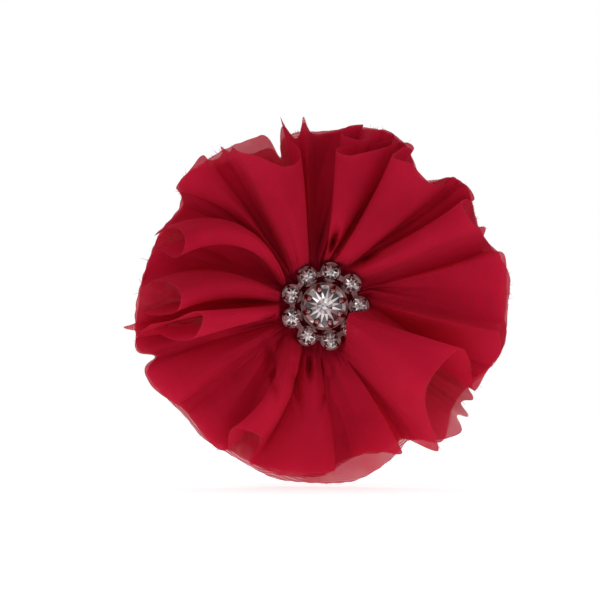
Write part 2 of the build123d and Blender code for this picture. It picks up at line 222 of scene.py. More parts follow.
def chiffon(name, colour, deep, openness):
    """Sheer polyester: fine crossing yarns, pinholes between them, and a painted highlight along
    the cut edge.

    The mesh carries each point's place on the flat cloth, in millimetres, as the attribute
    "cloth": along the strip, out from the gathering, and in from the cut edge.
    """
    material, tree, output = new_material(name)
    cloth = node(tree, "ShaderNodeAttribute", attribute_name="cloth").outputs["Vector"]
    parts = node(tree, "ShaderNodeSeparateXYZ", {"Vector": cloth}).outputs
    along, out, inward = parts[0], parts[1], parts[2]
    place = node(tree, "ShaderNodeTexCoord").outputs["Object"]

    wander = noise(tree, cloth, 0.09, 3.0)
    out_bent = math_node(tree, "ADD", out, math_node(tree, "MULTIPLY", wander, 1.6))
    weft = math_node(tree, "SINE", math_node(tree, "MULTIPLY", out_bent, TURN / WEFT_PITCH))
    yarn_a = math_node(tree, "SINE", math_node(tree, "MULTIPLY", along, TURN / YARN_PITCH))
    yarn_b = math_node(tree, "SINE", math_node(tree, "MULTIPLY", out_bent, TURN / YARN_PITCH))
    grid = math_node(tree, "MULTIPLY", yarn_a, yarn_b)

    cloud = noise(tree, place, 70.0, 3.0)
    tone = mix_colour(tree, remap(tree, cloud, 0.3, 0.7), deep, colour)
    lines = remap(tree, weft, -1.0, 1.0, 0.93, 1.07)
    shade = node(tree, "ShaderNodeCombineColor", {"Red": lines, "Green": lines, "Blue": lines})
    tone = mix_colour(tree, 1.0, tone, shade.outputs["Color"], "MULTIPLY")
    # Painted highlight: within 0.4 mm of the cut edge the colour is mixed up to 22% towards a pale
    # red.
    edge = remap(tree, inward, 0.1, 0.4, 0.22, 0.0)
    tone = mix_colour(tree, edge, tone, (0.6, 0.06, 0.1, 1))

    holes = remap(tree, grid, -0.2, 1.0, 0.0, 2.6 * openness)
    strained = remap(tree, noise(tree, cloth, 0.045, 2.0), 0.5, 0.66)
    near_edge = remap(tree, inward, 0.5, 4.5, 1.0, 0.0)
    pulled = math_node(tree, "MULTIPLY", strained, near_edge)
    gaps = remap(tree, weft, 0.1, 1.0, 0.0, PULLED_OPENNESS)
    holes = math_node(tree, "ADD", holes, math_node(tree, "MULTIPLY", pulled, gaps))
    cover = math_node(tree, "SUBTRACT", 1.0, holes, clamp=True)
    bump = node(
        tree, "ShaderNodeBump", {"Strength": 0.25, "Distance": 0.00006, "Height": grid}
    ).outputs["Normal"]

    skin = node(
        tree,
        "ShaderNodeBsdfPrincipled",
        {
            "Base Color": tone,
            "Roughness": 0.8,
            "Specular IOR Level": 0.08,
            "Sheen Weight": 0.05,
            "Sheen Roughness": 0.5,
            "Sheen Tint": (1.0, 0.3, 0.35, 1),
            "Normal": bump,
        },
    ).outputs["BSDF"]
    glow = node(tree, "ShaderNodeBsdfTranslucent", {"Color": tone}).outputs["BSDF"]
    body = node(tree, "ShaderNodeMixShader", {"Fac": LET_THROUGH, 1: skin, 2: glow}).outputs[0]
    clear = node(tree, "ShaderNodeBsdfTransparent").outputs[0]
    sheer = node(tree, "ShaderNodeMixShader", {"Fac": cover, 1: clear, 2: body}).outputs[0]
    tree.links.new(sheer, output.inputs["Surface"])
    return material


def plated_metal(name, colour, stain_and_painted_shade, roughness, grain, patch=350.0):
    """Plated metal clouded at random towards a second, darker tone (a real stain for most callers,
    painted shade for the jewel's silver), with fine scratches and duller patches.
    """
    material, tree, output = new_material(name)
    place = node(tree, "ShaderNodeTexCoord").outputs["Object"]
    stretched = node(
        tree, "ShaderNodeMapping", {"Vector": place, "Scale": (0.15, 1.0, 1.0)}
    ).outputs["Vector"]
    cloud = noise(tree, place, patch, 4.0)
    scratch = noise(tree, stretched, grain, 5.0, 0.7)
    tone = mix_colour(tree, remap(tree, cloud, 0.35, 0.75), colour, stain_and_painted_shade)
    rough = math_node(
        tree,
        "ADD",
        remap(tree, cloud, 0.3, 0.8, roughness * 0.7, roughness * 1.3),
        remap(tree, scratch, 0.45, 0.75, 0.0, 0.12),
    )
    bump = node(
        tree, "ShaderNodeBump", {"Strength": 0.15, "Distance": 0.00003, "Height": scratch}
    ).outputs["Normal"]
    metal = node(
        tree,
        "ShaderNodeBsdfPrincipled",
        {"Base Color": tone, "Metallic": 1.0, "Roughness": rough, "Normal": bump},
    ).outputs["BSDF"]
    tree.links.new(metal, output.inputs["Surface"])
    return material


def felt_material(name, colour, deep):
    """Pressed fibres: a matted surface of short crossing hairs."""
    material, tree, output = new_material(name)
    place = node(tree, "ShaderNodeTexCoord").outputs["Object"]
    fibres = noise(tree, place, 1400.0, 6.0, 0.75)
    mat = noise(tree, place, 260.0, 3.0)
    tone = mix_colour(tree, remap(tree, fibres, 0.3, 0.72), deep, colour)
    tone = mix_colour(tree, remap(tree, mat, 0.35, 0.8, 0.0, 0.35), tone, deep)
    height = math_node(tree, "ADD", fibres, math_node(tree, "MULTIPLY", mat, 0.6))
    bump = node(
        tree, "ShaderNodeBump", {"Strength": 0.6, "Distance": 0.00025, "Height": height}
    ).outputs["Normal"]
    felt = node(
        tree,
        "ShaderNodeBsdfPrincipled",
        {
            "Base Color": tone,
            "Roughness": 0.95,
            "Specular IOR Level": 0.1,
            "Sheen Weight": 0.25,
            "Sheen Roughness": 0.6,
            "Normal": bump,
        },
    ).outputs["BSDF"]
    tree.links.new(felt, output.inputs["Surface"])
    return material


def glue_material():
    """Set hot glue: milky, waxy, with trapped bubbles."""
    material, tree, output = new_material("hot_glue")
    place = node(tree, "ShaderNodeTexCoord").outputs["Object"]
    cloud = noise(tree, place, 500.0, 3.0)
    tone = mix_colour(tree, cloud, (0.72, 0.66, 0.52, 1), (0.86, 0.83, 0.74, 1))
    bubbles = node(
        tree, "ShaderNodeTexVoronoi", {"Vector": place, "Scale": 900.0}
    ).outputs["Distance"]
    bump = node(
        tree, "ShaderNodeBump", {"Strength": 0.3, "Distance": 0.0002, "Height": bubbles}
    ).outputs["Normal"]
    glue = node(
        tree,
        "ShaderNodeBsdfPrincipled",
        {"Base Color": tone, "Roughness": 0.32, "Normal": bump, "Coat Weight": 0.3},
    ).outputs["BSDF"]
    tree.links.new(glue, output.inputs["Surface"])
    return material


def thread_material():
    """Twisted polyester thread: slanting plies along the loop."""
    material, tree, output = new_material("sewing_thread")
    place = node(tree, "ShaderNodeTexCoord").outputs["Object"]
    ply = node(
        tree,
        "ShaderNodeTexWave",
        {"Vector": place, "Scale": 1600.0, "Distortion": 2.0, "Detail": 2.0},
        bands_direction="DIAGONAL",
    ).outputs["Fac"]
    tone = mix_colour(tree, ply, (0.16, 0.004, 0.012, 1), (0.42, 0.012, 0.035, 1))
    bump = node(
        tree, "ShaderNodeBump", {"Strength": 0.5, "Distance": 0.00008, "Height": ply}
    ).outputs["Normal"]
    thread = node(
        tree,
        "ShaderNodeBsdfPrincipled",
        {"Base Color": tone, "Roughness": 0.6, "Sheen Weight": 0.2, "Normal": bump},
    ).outputs["BSDF"]
    tree.links.new(thread, output.inputs["Surface"])
    return material


def yarn_material():
    """A single fluffed yarn end, unevenly dyed."""
    material, tree, output = new_material("loose_yarn")
    place = node(tree, "ShaderNodeTexCoord").outputs["Object"]
    patch = noise(tree, place, 1500.0, 3.0)
    share = remap(tree, patch, 0.3, 0.7)
    tone = mix_colour(tree, share, (0.34, 0.01, 0.03, 1), (0.6, 0.05, 0.09, 1))
    bump = node(
        tree, "ShaderNodeBump", {"Strength": 0.4, "Distance": 0.00003, "Height": patch}
    ).outputs["Normal"]
    yarn = node(
        tree,
        "ShaderNodeBsdfPrincipled",
        {"Base Color": tone, "Roughness": 0.75, "Specular IOR Level": 0.15, "Normal": bump},
    ).outputs["BSDF"]
    tree.links.new(yarn, output.inputs["Surface"])
    return material


def crystal_material():
    """Foil-backed cut glass with painted reflections: each facet's colour is a painted tone in
    place of the light its foil sends back.
    """
    material, tree, output = new_material("cut_crystal")
    tone = node(tree, "ShaderNodeAttribute", attribute_name="facet").outputs["Color"]
    place = node(tree, "ShaderNodeTexCoord").outputs["Object"]
    flaw = noise(tree, place, 900.0, 3.0)
    shade = mix_colour(tree, remap(tree, flaw, 0.35, 0.75, 0.0, 0.3), tone, (0.5, 0.42, 0.43, 1))
    stone = node(
        tree,
        "ShaderNodeBsdfPrincipled",
        {
            "Base Color": shade,
            "Metallic": 0.35,
            "Roughness": 0.08,
            "Coat Weight": 1.0,
            "Coat Roughness": 0.02,
            "Coat IOR": 1.56,
        },
    ).outputs["BSDF"]
    tree.links.new(stone, output.inputs["Surface"])
    return material


def floor_material():
    """A pale matte floor, lit from within so that it is as white as the room."""
    material, tree, output = new_material("studio_floor")
    place = node(tree, "ShaderNodeTexCoord").outputs["Object"]
    grain = noise(tree, place, 60.0, 3.0)
    tone = mix_colour(tree, grain, (0.93, 0.93, 0.93, 1), (0.97, 0.97, 0.97, 1))
    matte = node(
        tree,
        "ShaderNodeBsdfPrincipled",
        {
            "Base Color": tone,
            "Roughness": 0.9,
            "Specular IOR Level": 0.1,
            "Emission Color": (1, 1, 1, 1),
            "Emission Strength": 0.62,
        },
    ).outputs["BSDF"]
    tree.links.new(matte, output.inputs["Surface"])
    return material


# ---------------------------------------------------------------- the ruffles

# Each fold of the top layer, anticlockwise from the lower right: where it is gathered (degrees,
# from and to), how far it bows sideways between the gathering and the cut edge (degrees, from
# and to), and its cut edge as points of angle, radius and lift
TOP_FOLDS = [
    # the big petal that rolls open and leans over the jewel
    ((272, 376), (0, 0), [
        (301, 40, 6), (305, 44.5, 9), (308, 48, 11), (310, 44.5, 15), (313, 39, 19),
        (317, 35, 23), (323, 33, 25), (334, 33.5, 25), (343, 36.5, 22), (340, 39.5, 17),
        (334, 42.5, 11), (330, 45, 7)]),
    # the small roll above it
    ((355, 372), (0, 0), [
        (338, 45.5, 7), (345, 47, 11), (350, 46, 15), (352, 45, 17), (354, 46, 12)]),
    # the flat panel on the right
    ((12, 24), (0, 0), [
        (355, 46.8, 8), (2, 47.4, 8), (7, 47.6, 9), (13, 48.4, 10), (17, 48.5, 11), (18, 46, 10),
        (19, 43.5, 6)]),
    # the pointed leaf above the panel
    ((26, 61), (0, 0), [
        (22, 44, 7), (26, 46.5, 12), (28, 44, 17), (32, 43.5, 19), (37, 44, 18), (37, 46, 12)]),
    # the thin strips at the upper right edge
    ((58, 62), (0, 0), [
        (35, 48, 8), (41, 48.5, 10), (42, 47, 7), (45, 48, 9), (46, 46, 8), (44, 43.5, 6)]),
    # the panel that folds into a heart
    ((59, 91), (0, 0), [
        (46, 44.5, 12), (48, 42, 16), (54, 42, 18), (59, 43, 20), (63, 42, 21), (66, 42, 20),
        (65, 44, 16), (63, 46.5, 13), (60, 46.5, 11), (62, 48, 8), (65, 47, 7)]),
    # the double roll at the top
    ((86, 103), (0, 0), [
        (66, 46.5, 11), (69, 44, 15), (75, 41, 19), (82, 39, 21), (86, 40, 20), (84, 41.5, 15),
        (78, 43, 12), (71, 45, 10), (67, 48, 9), (71, 48.5, 8), (74, 47.5, 10), (75, 45, 12),
        (77, 44, 13), (81, 44, 12), (85, 45, 10), (82, 47.5, 7), (77, 48.5, 6)]),
    # the two thin spikes
    ((101, 110), (0, 0), [
        (83, 47, 5), (88, 45.5, 4), (93, 44.8, 5), (95.2, 46, 8), (96.4, 50.2, 10),
        (97.8, 45.8, 9), (99.8, 43.5, 8), (101.7, 46, 9), (103.3, 51, 11)]),
    # the tube that stands in front at the top left
    ((107, 138), (0, 0), [
        (102, 44.5, 13), (99, 41, 16), (100, 38, 19), (105, 37, 21), (110, 39, 22),
        (113, 41.5, 21), (119, 45.5, 18), (120, 47.5, 14)]),
    # the frayed corner beside it
    ((134, 137), (0, 0), [
        (122, 47, 9), (123, 50, 9), (124, 47.5, 6), (128, 48, 6)]),
    # the squared fold at the upper left
    ((137, 142), (0, -8), [
        (129, 50.5, 12), (135, 49.5, 14), (141, 49.5, 12), (142, 48, 7)]),
    # the first rolled tube on the left
    ((139, 158), (-20, -18), [
        (143, 45.5, 4), (153, 46.5, 6), (158, 48, 8), (155, 47, 12), (153, 45, 16),
        (152, 42.5, 19), (154, 40, 22), (158, 39, 21), (162, 40, 19), (162, 42.5, 15),
        (161, 45, 12)]),
    # the second
    ((150, 176), (-14, -6), [
        (163, 47, 8), (168, 47.5, 6), (174, 48, 8), (172, 45.5, 13), (171, 42.5, 17),
        (172, 39.5, 21), (175, 37, 24), (179, 37, 24), (182, 38, 22), (183, 40, 19),
        (183, 42.5, 16), (183, 45, 12), (182, 47.5, 9)]),
    # the third, with the long spike under it
    ((167, 200), (-2, 0), [
        (185, 49, 6), (186, 53.4, 5), (187.4, 49.6, 6), (188, 48, 10), (186, 45.5, 13),
        (186, 42, 17), (185, 38.5, 20), (183, 35, 24), (182, 32.5, 26), (185, 31, 27),
        (189, 32, 26), (193, 34, 23), (194, 36.5, 20), (193, 39, 17), (191, 42, 13),
        (188, 44.5, 10), (187, 46.5, 8), (188, 48.5, 6)]),
    # the plain fan at the lower left
    ((196, 214), (0, 0), [
        (191, 50.5, 5), (194, 50.3, 6), (196.5, 45.6, 4), (198.7, 49.6, 7), (205, 49.5, 9),
        (212, 46.8, 9), (216, 45.5, 5), (222, 45.5, 8), (228, 46, 9), (233, 46.5, 8)]),
    # the rolled tube at the bottom
    ((208, 247), (5, 5), [
        (236, 45.5, 7), (234, 42.5, 12), (233, 39, 17), (236, 38, 19), (240, 37.5, 18),
        (243, 37.5, 16), (245, 40, 10), (244, 45.5, 7)]),
    # the panel at the bottom
    ((238, 264), (0, 0), [
        (249, 44.5, 8), (257, 44, 10), (264, 43.5, 11), (272, 43, 11), (274, 42.5, 8),
        (274, 41.5, 4)]),
    # the low fold beside the big petal
    ((262, 292), (0, 0), [
        (280, 40, 3), (289, 40, 6), (298, 43.5, 10), (298, 40.5, 12)]),
]

# Narrow loops of cloth caught by the gathering: each opening's place in mm, the way it runs in
# degrees, and its half length, half width and depth in mm
TUCKS = [
    (2.2, 17.0, 72, 2.6, 0.8, 9),
    (11.6, 12.6, 28, 2.2, 0.7, 7),
    (-4.0, -15.2, 92, 2.6, 0.7, 9),
    (0.6, -20.5, 76, 4.2, 0.7, 6),
    (-14.2, -2.6, 20, 1.8, 0.6, 5),
    (-13.6, -15.5, 98, 5.5, 1.0, 8),
    (-7.6, -19.5, 100, 4.0, 0.8, 6),
]

# The cut edges of the two layers behind it, as points of angle, radius and lift
MIDDLE_EDGE = [
    (0, 46, 4), (8, 46.6, 6), (16, 47.6, 8), (22, 45.5, 5), (28, 45, 4), (34, 46.5, 7),
    (40, 48.3, 9), (46, 46.8, 6), (50, 42, 4), (55, 42, 5), (62, 46.5, 8), (68, 48, 9),
    (75, 47.5, 8), (82, 46.5, 5), (88, 45, 4), (94, 44.8, 6), (96.4, 48.6, 7), (99.5, 44, 5),
    (103, 48.5, 7), (105, 45, 5), (106.5, 39.5, 4), (108.5, 43.5, 4), (114, 43.8, 7),
    (121, 45, 8), (127, 46, 5), (134, 49.5, 8), (140, 49.5, 9), (145, 45, 4), (152, 45.5, 6),
    (158, 47, 8), (165, 47, 5), (172, 48, 7), (180, 48.5, 6), (186, 49.5, 4), (193.5, 49.8, 7),
    (196.5, 45.6, 5), (199.5, 48.8, 7), (207, 47, 5), (214, 45.3, 7), (222, 45, 5),
    (230, 45.3, 8), (238, 45, 4), (246, 45, 7), (254, 45.4, 8), (262, 45, 5), (270, 44, 7),
    (276, 41.5, 5), (284, 40, 2), (292, 41, 5), (298, 39.5, 6), (304, 42, 8), (312, 46.5, 8),
    (318, 48.4, 6), (320.5, 44.4, 5), (322.5, 47.6, 7), (325, 43.2, 4), (328, 46, 6),
    (331, 42.8, 4), (338, 45, 8), (345, 47.5, 6), (352, 48, 5),
]
BOTTOM_EDGE = [
    (0, 48, 1), (10, 49, 3.4), (20, 46, 4.6), (28, 45.5, 1), (36, 47.5, -0.2), (44, 48, 3.4),
    (52, 42, 3.4), (60, 45.5, -0.2), (68, 48, 2.2), (76, 48, 4.6), (84, 46.5, 2.2),
    (92, 45.8, -0.2), (100, 46, 3.4), (105, 44.5, 3.4), (106.5, 40, 2.2), (109, 47.3, 2.2),
    (114, 47.8, 1), (121, 48.5, 2.2), (130, 49, 4.6), (138, 49, 2.2), (146, 46, -0.2),
    (155, 47, 3.4), (164, 47.5, 2.2), (173, 48.5, -0.2), (182, 49.5, 3.4), (191, 49.5, 2.2),
    (196.5, 45.6, 1.5), (200, 49.5, -0.2), (209, 48, 3.4), (218, 46.5, 2.2), (227, 47, -0.2),
    (236, 46, 3.4), (245, 46.2, 2.2), (254, 47, -0.2), (263, 46.4, 2.2), (272, 46.3, 3.4),
    (280, 46.4, 1), (288, 44.9, 2.2), (296, 43, 3.4), (303, 41.5, 1), (311, 47, 2.2),
    (320, 43, 4.6), (328, 42.6, 1), (336, 45, 2.2), (344, 47.5, 3.4), (352, 48, 1),
]


def closed_spline(points, steps):
    """Points on a smooth closed curve through the rows, whose first three columns are places."""
    rows = np.asarray(points, float)
    count = len(rows)
    made = []
    share = np.linspace(0, 1, steps, endpoint=False)[:, None]
    for i in range(count):
        before, start, end, after = (rows[(i + k) % count] for k in (-1, 0, 1, 2))
        gaps = [
            max(np.linalg.norm((b - a)[:3]), 1e-3) ** 0.5
            for a, b in ((before, start), (start, end), (end, after))
        ]
        out = (start - before) / gaps[0] - (end - before) / (gaps[0] + gaps[1])
        out = (out + (end - start) / gaps[1]) * gaps[1]
        back = (end - start) / gaps[1] - (after - start) / (gaps[1] + gaps[2])
        back = (back + (after - end) / gaps[2]) * gaps[1]
        s, t = share, share ** 2
        made.append(
            (2 * s * t - 3 * t + 1) * start
            + (s * t - 2 * t + s) * out
            + (3 * t - 2 * s * t) * end
            + (s * t - t) * back
        )
    return np.vstack(made)


def even_columns(curve, count):
    """The closed curve again, as points an equal distance apart, and its length."""
    loop = np.vstack([curve, curve[:1]])
    steps = np.linalg.norm(np.diff(loop[:, :3], axis=0), axis=1)
    reach = np.concatenate([[0], np.cumsum(steps)])
    wanted = np.linspace(0, reach[-1], count, endpoint=False)
    columns = [np.interp(wanted, reach, loop[:, k]) for k in range(loop.shape[1])]
    return np.stack(columns, axis=1), reach[-1]


def wavering(rng, count, waves):
    """A smooth closed wobble between about -1 and 1, with that many waves round the loop."""
    turn = np.linspace(0, TURN, count, endpoint=False)
    total = np.zeros(count)
    for _ in range(6):
        pitch = max(1, round(waves * rng.uniform(0.6, 1.4)))
        total += np.sin(turn * pitch + rng.uniform(0, TURN))
    return total / 2.4


# How much of the gathering an upright wall of cloth takes, and the least that any step takes
WALL_SHARE = 0.12
LEAST_STEP = 0.3


def gathered_shares(edge):
    """How far along its gathering each point of a fold's edge starts, from 0 to 1.

    Cloth that runs sideways takes its length of the gathering, and a fold's upright walls little.
    """
    places = [(r * math.cos(math.radians(a)), r * math.sin(math.radians(a))) for a, r, _ in edge]
    steps = []
    for i in range(1, len(edge)):
        sideways = abs(math.radians(edge[i][0] - edge[i - 1][0])) * edge[i][1]
        wall = WALL_SHARE * math.dist(places[i], places[i - 1])
        steps.append(sideways + wall + LEAST_STEP)
    ends = [steps[0] / 2] + steps + [steps[-1] / 2] if steps else [1, 1]
    total, reach, shares = sum(ends), 0, []
    for step in ends[:-1]:
        reach += step
        shares.append(reach / total)
    return shares


def fold_rows(folds):
    """One row a point: x, z and lift in mm, cosine and sine of its gathered angle, bow, crown."""
    rows = []
    for roots, bows, edge in folds:
        for share, (angle, radius, lift) in zip(gathered_shares(edge), edge):
            root = math.radians(roots[0] + (roots[1] - roots[0]) * share)
            bow = bows[0] + (bows[1] - bows[0]) * share
            turn = math.radians(angle)
            place = (radius * math.cos(turn), radius * math.sin(turn), lift)
            crown = math.sin(math.pi * share)
            rows.append((*place, math.cos(root), math.sin(root), bow, crown))
    return rows


def edge_rows(edge):
    """The same rows for a plain layer: gathered straight behind its edge, every other crowned."""
    rows = fold_rows([((a, a), (0, 0), [(a, r, z)]) for a, r, z in edge])
    return [(*row[:-1], k % 2) for k, row in enumerate(rows)]


# Radii in mm: the strip's gathered edge, and where the cloth comes out from under the jewel,
# with the share of the strip's depth between them
START_RADIUS = 6.0
LEAVE_RADIUS = 11.8
HIDDEN_SHARE = 0.08
# How soon a fold turns from its gathered angle to the angle of its cut edge
SPREAD_POWER = 2.4
# The wobble of the cut edge in mm, and its points to each listed point
EDGE_WOBBLE = 0.22
SPLINE_STEPS = 24
# A fold begins to count as tall where its cut edge is the first of these above the gathering,
# and counts in full where it is the second higher still, in mm
TALL_FROM = 2
TALL_RANGE = 9
# A fold's side view, in mm: a low fold first runs out flat, a tall one first stands up, and
# both come to the cut edge on a long run that drops a little
FLAT_RUN = 9
LOW_RISE = 2
TALL_RISE = 16
EDGE_RUN = 14
TALL_EDGE_RUN = 2
EDGE_DROP = 0.6
# The crowns beside the jewel: what is raised is above this level and the rest is lowered. They
# begin this fast and reach this far, as a share of the depth
CROWN_LEVEL = 0.4
CROWN_START = 9
CROWN_REACH = 0.42
# The rounding in columns: what the cut edge gets, how the rest fades towards it, and how fast
# it begins at the jewel
EDGE_ROUNDNESS = 1.5
ROUND_FADE = 1.2
ROUND_START = 6
# The fine pleats: they are deepest near the gathering and fade towards the cut edge
PLEAT_BASE = 0.35
PLEAT_FADE = 4.2
PLEAT_GAIN = 1.6


def rounded(places, spread):
    """A closed row of points averaged with their neighbours, by a bell of that many columns."""
    pitch = np.fft.rfftfreq(len(places))[:, None]
    kept = np.exp(-2 * (math.pi * pitch * spread) ** 2)
    return np.fft.irfft(np.fft.rfft(places, axis=0) * kept, n=len(places), axis=0)


def ruffle_grid(rows, columns, levels, lifts, seed, pleat, roundness, crown_height, lean):
    """The gathered strip as a grid of points in mm, columns round and levels outward.

    lifts are those of the gathered edge and of where the cloth leaves the jewel.
    """
    rng = random.Random(seed)
    gather_lift, leave_lift = lifts
    curve, length = even_columns(closed_spline(rows, SPLINE_STEPS), columns)
    rim_angle = np.unwrap(np.arctan2(curve[:, 1], curve[:, 0]))
    rim_radius = np.hypot(curve[:, 0], curve[:, 1])
    rim_lift = curve[:, 2]
    root_angle = np.unwrap(np.arctan2(curve[:, 4], curve[:, 3]))
    root_angle += TURN * round((np.mean(rim_angle) - np.mean(root_angle)) / TURN)
    bow = np.radians(curve[:, 5])
    crown = np.clip(curve[:, 6], 0, 1)
    rim_radius = rim_radius + EDGE_WOBBLE * wavering(rng, columns, length / 2.5)

    tall = np.clip((rim_lift - leave_lift - TALL_FROM) / TALL_RANGE, 0, 1)
    fine = wavering(rng, columns, length / 9)
    finer = wavering(rng, columns, length / 4)
    grid = np.zeros((columns, levels, 3))
    for j, share in enumerate(np.linspace(0, 1, levels)):
        if share < HIDDEN_SHARE:
            k = share / HIDDEN_SHARE
            radius = np.full(columns, START_RADIUS + (LEAVE_RADIUS - START_RADIUS) * k)
            lift = np.full(columns, gather_lift + (leave_lift - gather_lift) * k)
            v = 0.0
        else:
            v = (share - HIDDEN_SHARE) / (1 - HIDDEN_SHARE)
            inner = LEAVE_RADIUS + (FLAT_RUN - FLAT_RUN * tall) - lean(root_angle) * tall
            inner_lift = leave_lift + LOW_RISE + TALL_RISE * tall
            outer = rim_radius - EDGE_RUN + TALL_EDGE_RUN * tall
            outer_lift = rim_lift - EDGE_DROP - EDGE_DROP * tall
            a, b, c, d = (1 - v) ** 3, 3 * (1 - v) ** 2 * v, 3 * (1 - v) * v * v, v ** 3
            radius = a * LEAVE_RADIUS + b * inner + c * outer + d * rim_radius
            lift = a * leave_lift + b * inner_lift + c * outer_lift + d * rim_lift
            fade = math.exp(-((v / CROWN_REACH) ** 2))
            lift = lift + crown_height * (crown - CROWN_LEVEL) * min(1.0, CROWN_START * v) * fade
        spread = 1 - (1 - v) ** SPREAD_POWER
        angle = root_angle + (rim_angle - root_angle) * spread + bow * math.sin(math.pi * v)
        places = np.stack([radius * np.cos(angle), radius * np.sin(angle), lift], axis=1)
        bell = roundness * (1 - v) ** ROUND_FADE * min(1.0, ROUND_START * v)
        places = rounded(places, EDGE_ROUNDNESS + bell)
        depth = pleat * (v + PLEAT_BASE) * math.exp(-PLEAT_FADE * v) * PLEAT_GAIN
        outward = places[:, :2] / np.maximum(np.hypot(places[:, 0], places[:, 1]), 1)[:, None]
        shift = 0.6 * depth * finer
        places[:, 0] -= shift * outward[:, 1]
        places[:, 1] += shift * outward[:, 0]
        places[:, 2] += depth * (fine + 0.5 * finer)
        grid[:, j] = places
    return grid, length


def soften(grid, rounds):
    """Relax sharp creases a little, keeping the gathering and the cut edge where they are."""
    for _ in range(rounds):
        around = (np.roll(grid, 1, axis=0) + np.roll(grid, -1, axis=0)) / 2
        grid[:, 1:] += 0.5 * (around[:, 1:] - grid[:, 1:])
        between = (grid[:, :-2] + grid[:, 2:]) / 2
        grid[:, 1:-1] += 0.3 * (between - grid[:, 1:-1])
    return grid


def tucked(grid):
    """The top layer with its small caught loops sunk into it, where it stands off the felt."""
    for x, z, way, length, width, depth in TUCKS:
        turn = math.radians(way)
        right, up = grid[..., 0] - x, grid[..., 1] - z
        along = right * math.cos(turn) + up * math.sin(turn)
        across = up * math.cos(turn) - right * math.sin(turn)
        share = np.exp(-((along / length) ** 2) - (across / width) ** 2)
        grid[..., 2] -= depth * share * np.clip((grid[..., 2] - 5) / 6, 0, 1)
    return grid


def to_frame(points):
    """Points as x, z and lift in mm to metres in the row frame."""
    return np.stack(
        [points[..., 0] * MM, FELT_FRONT - points[..., 2] * MM, points[..., 1] * MM], axis=-1
    )


def link(mesh, name, material):
    """The mesh as an object in the scene, with its one material."""
    obj = bpy.data.objects.new(name, mesh)
    bpy.context.scene.collection.objects.link(obj)
    mesh.materials.append(material)
    return obj


def cloth_mesh(name, grid, length, material):
    """A closed ring of cloth with its flat place stored at each point."""
    columns, levels = grid.shape[:2]
    places = to_frame(grid).reshape(-1, 3)
    i, j = np.meshgrid(np.arange(columns), np.arange(levels - 1), indexing="ij")
    n = (i + 1) % columns
    quads = np.stack(
        [i * levels + j, n * levels + j, n * levels + j + 1, i * levels + j + 1], axis=-1
    ).reshape(-1, 4)
    mesh = bpy.data.meshes.new(name)
    mesh.from_pydata(places.tolist(), [], quads.tolist())
    mesh.shade_smooth()
    steps = np.linalg.norm(np.diff(grid, axis=1), axis=2)
    out = np.concatenate([np.zeros((columns, 1)), np.cumsum(steps, axis=1)], axis=1)
    along = np.repeat(np.arange(columns)[:, None] * length / columns, levels, axis=1)
    inward = out[:, -1:] - out
    cloth = np.stack([along, out, inward], axis=-1).astype(np.float32)
    attribute = mesh.attributes.new("cloth", "FLOAT_VECTOR", "POINT")
    attribute.data.foreach_set("vector", cloth.ravel())
    mesh.update()
    return link(mesh, name, material)


# How far the big petal leans at each gathered angle, in mm: most at its upper corner
PETAL_LEAN = [
    (286, 0), (293, 5), (303, 11), (315, 15), (330, 16), (340, 17.5), (353, 17.5), (359.9, 4),
]


def petal_lean(root_angle):
    """How far the big petal leans in over the jewel."""
    turned, leant = zip(*PETAL_LEAN)
    return np.interp(np.degrees(root_angle) % 360, turned, leant, left=0, right=0)


def no_lean(root_angle):
    return np.zeros_like(root_angle)


# Each layer's settings for ruffle_grid; the strip's length is that of the modelled cut edge. The
# modelled cloth has a little over half the strip's area, because the cloth crowded into the
# gathering isn't modelled
SHAPES = {
    "ruffle_top": dict(
        columns=1400, levels=56, lifts=(4.4, 5.0), seed=5,
        pleat=0.9, roundness=6, crown_height=4.5, lean=petal_lean,
    ),
    "ruffle_middle": dict(
        columns=900, levels=36, lifts=(2.6, 3.0), seed=6,
        pleat=0.8, roundness=6, crown_height=1.5, lean=no_lean,
    ),
    "ruffle_bottom": dict(
        columns=800, levels=32, lifts=(0.9, 1.1), seed=7,
        pleat=1.3, roundness=4, crown_height=3.0, lean=no_lean,
    ),
}
SOFTENING = 3
# Loose yarn ends: how many each layer has, and their build in mm, with seeds of their own
FRAYS = {"ruffle_top": 300, "ruffle_middle": 150, "ruffle_bottom": 110}
FRAY_SEED = 40
FRAY_RADIUS = 0.06
FRAY_SIDES = 3
FRAY_JOINTS = 5
FRAY_LONGEST = 2.4
FRAY_ROOT = 0.3


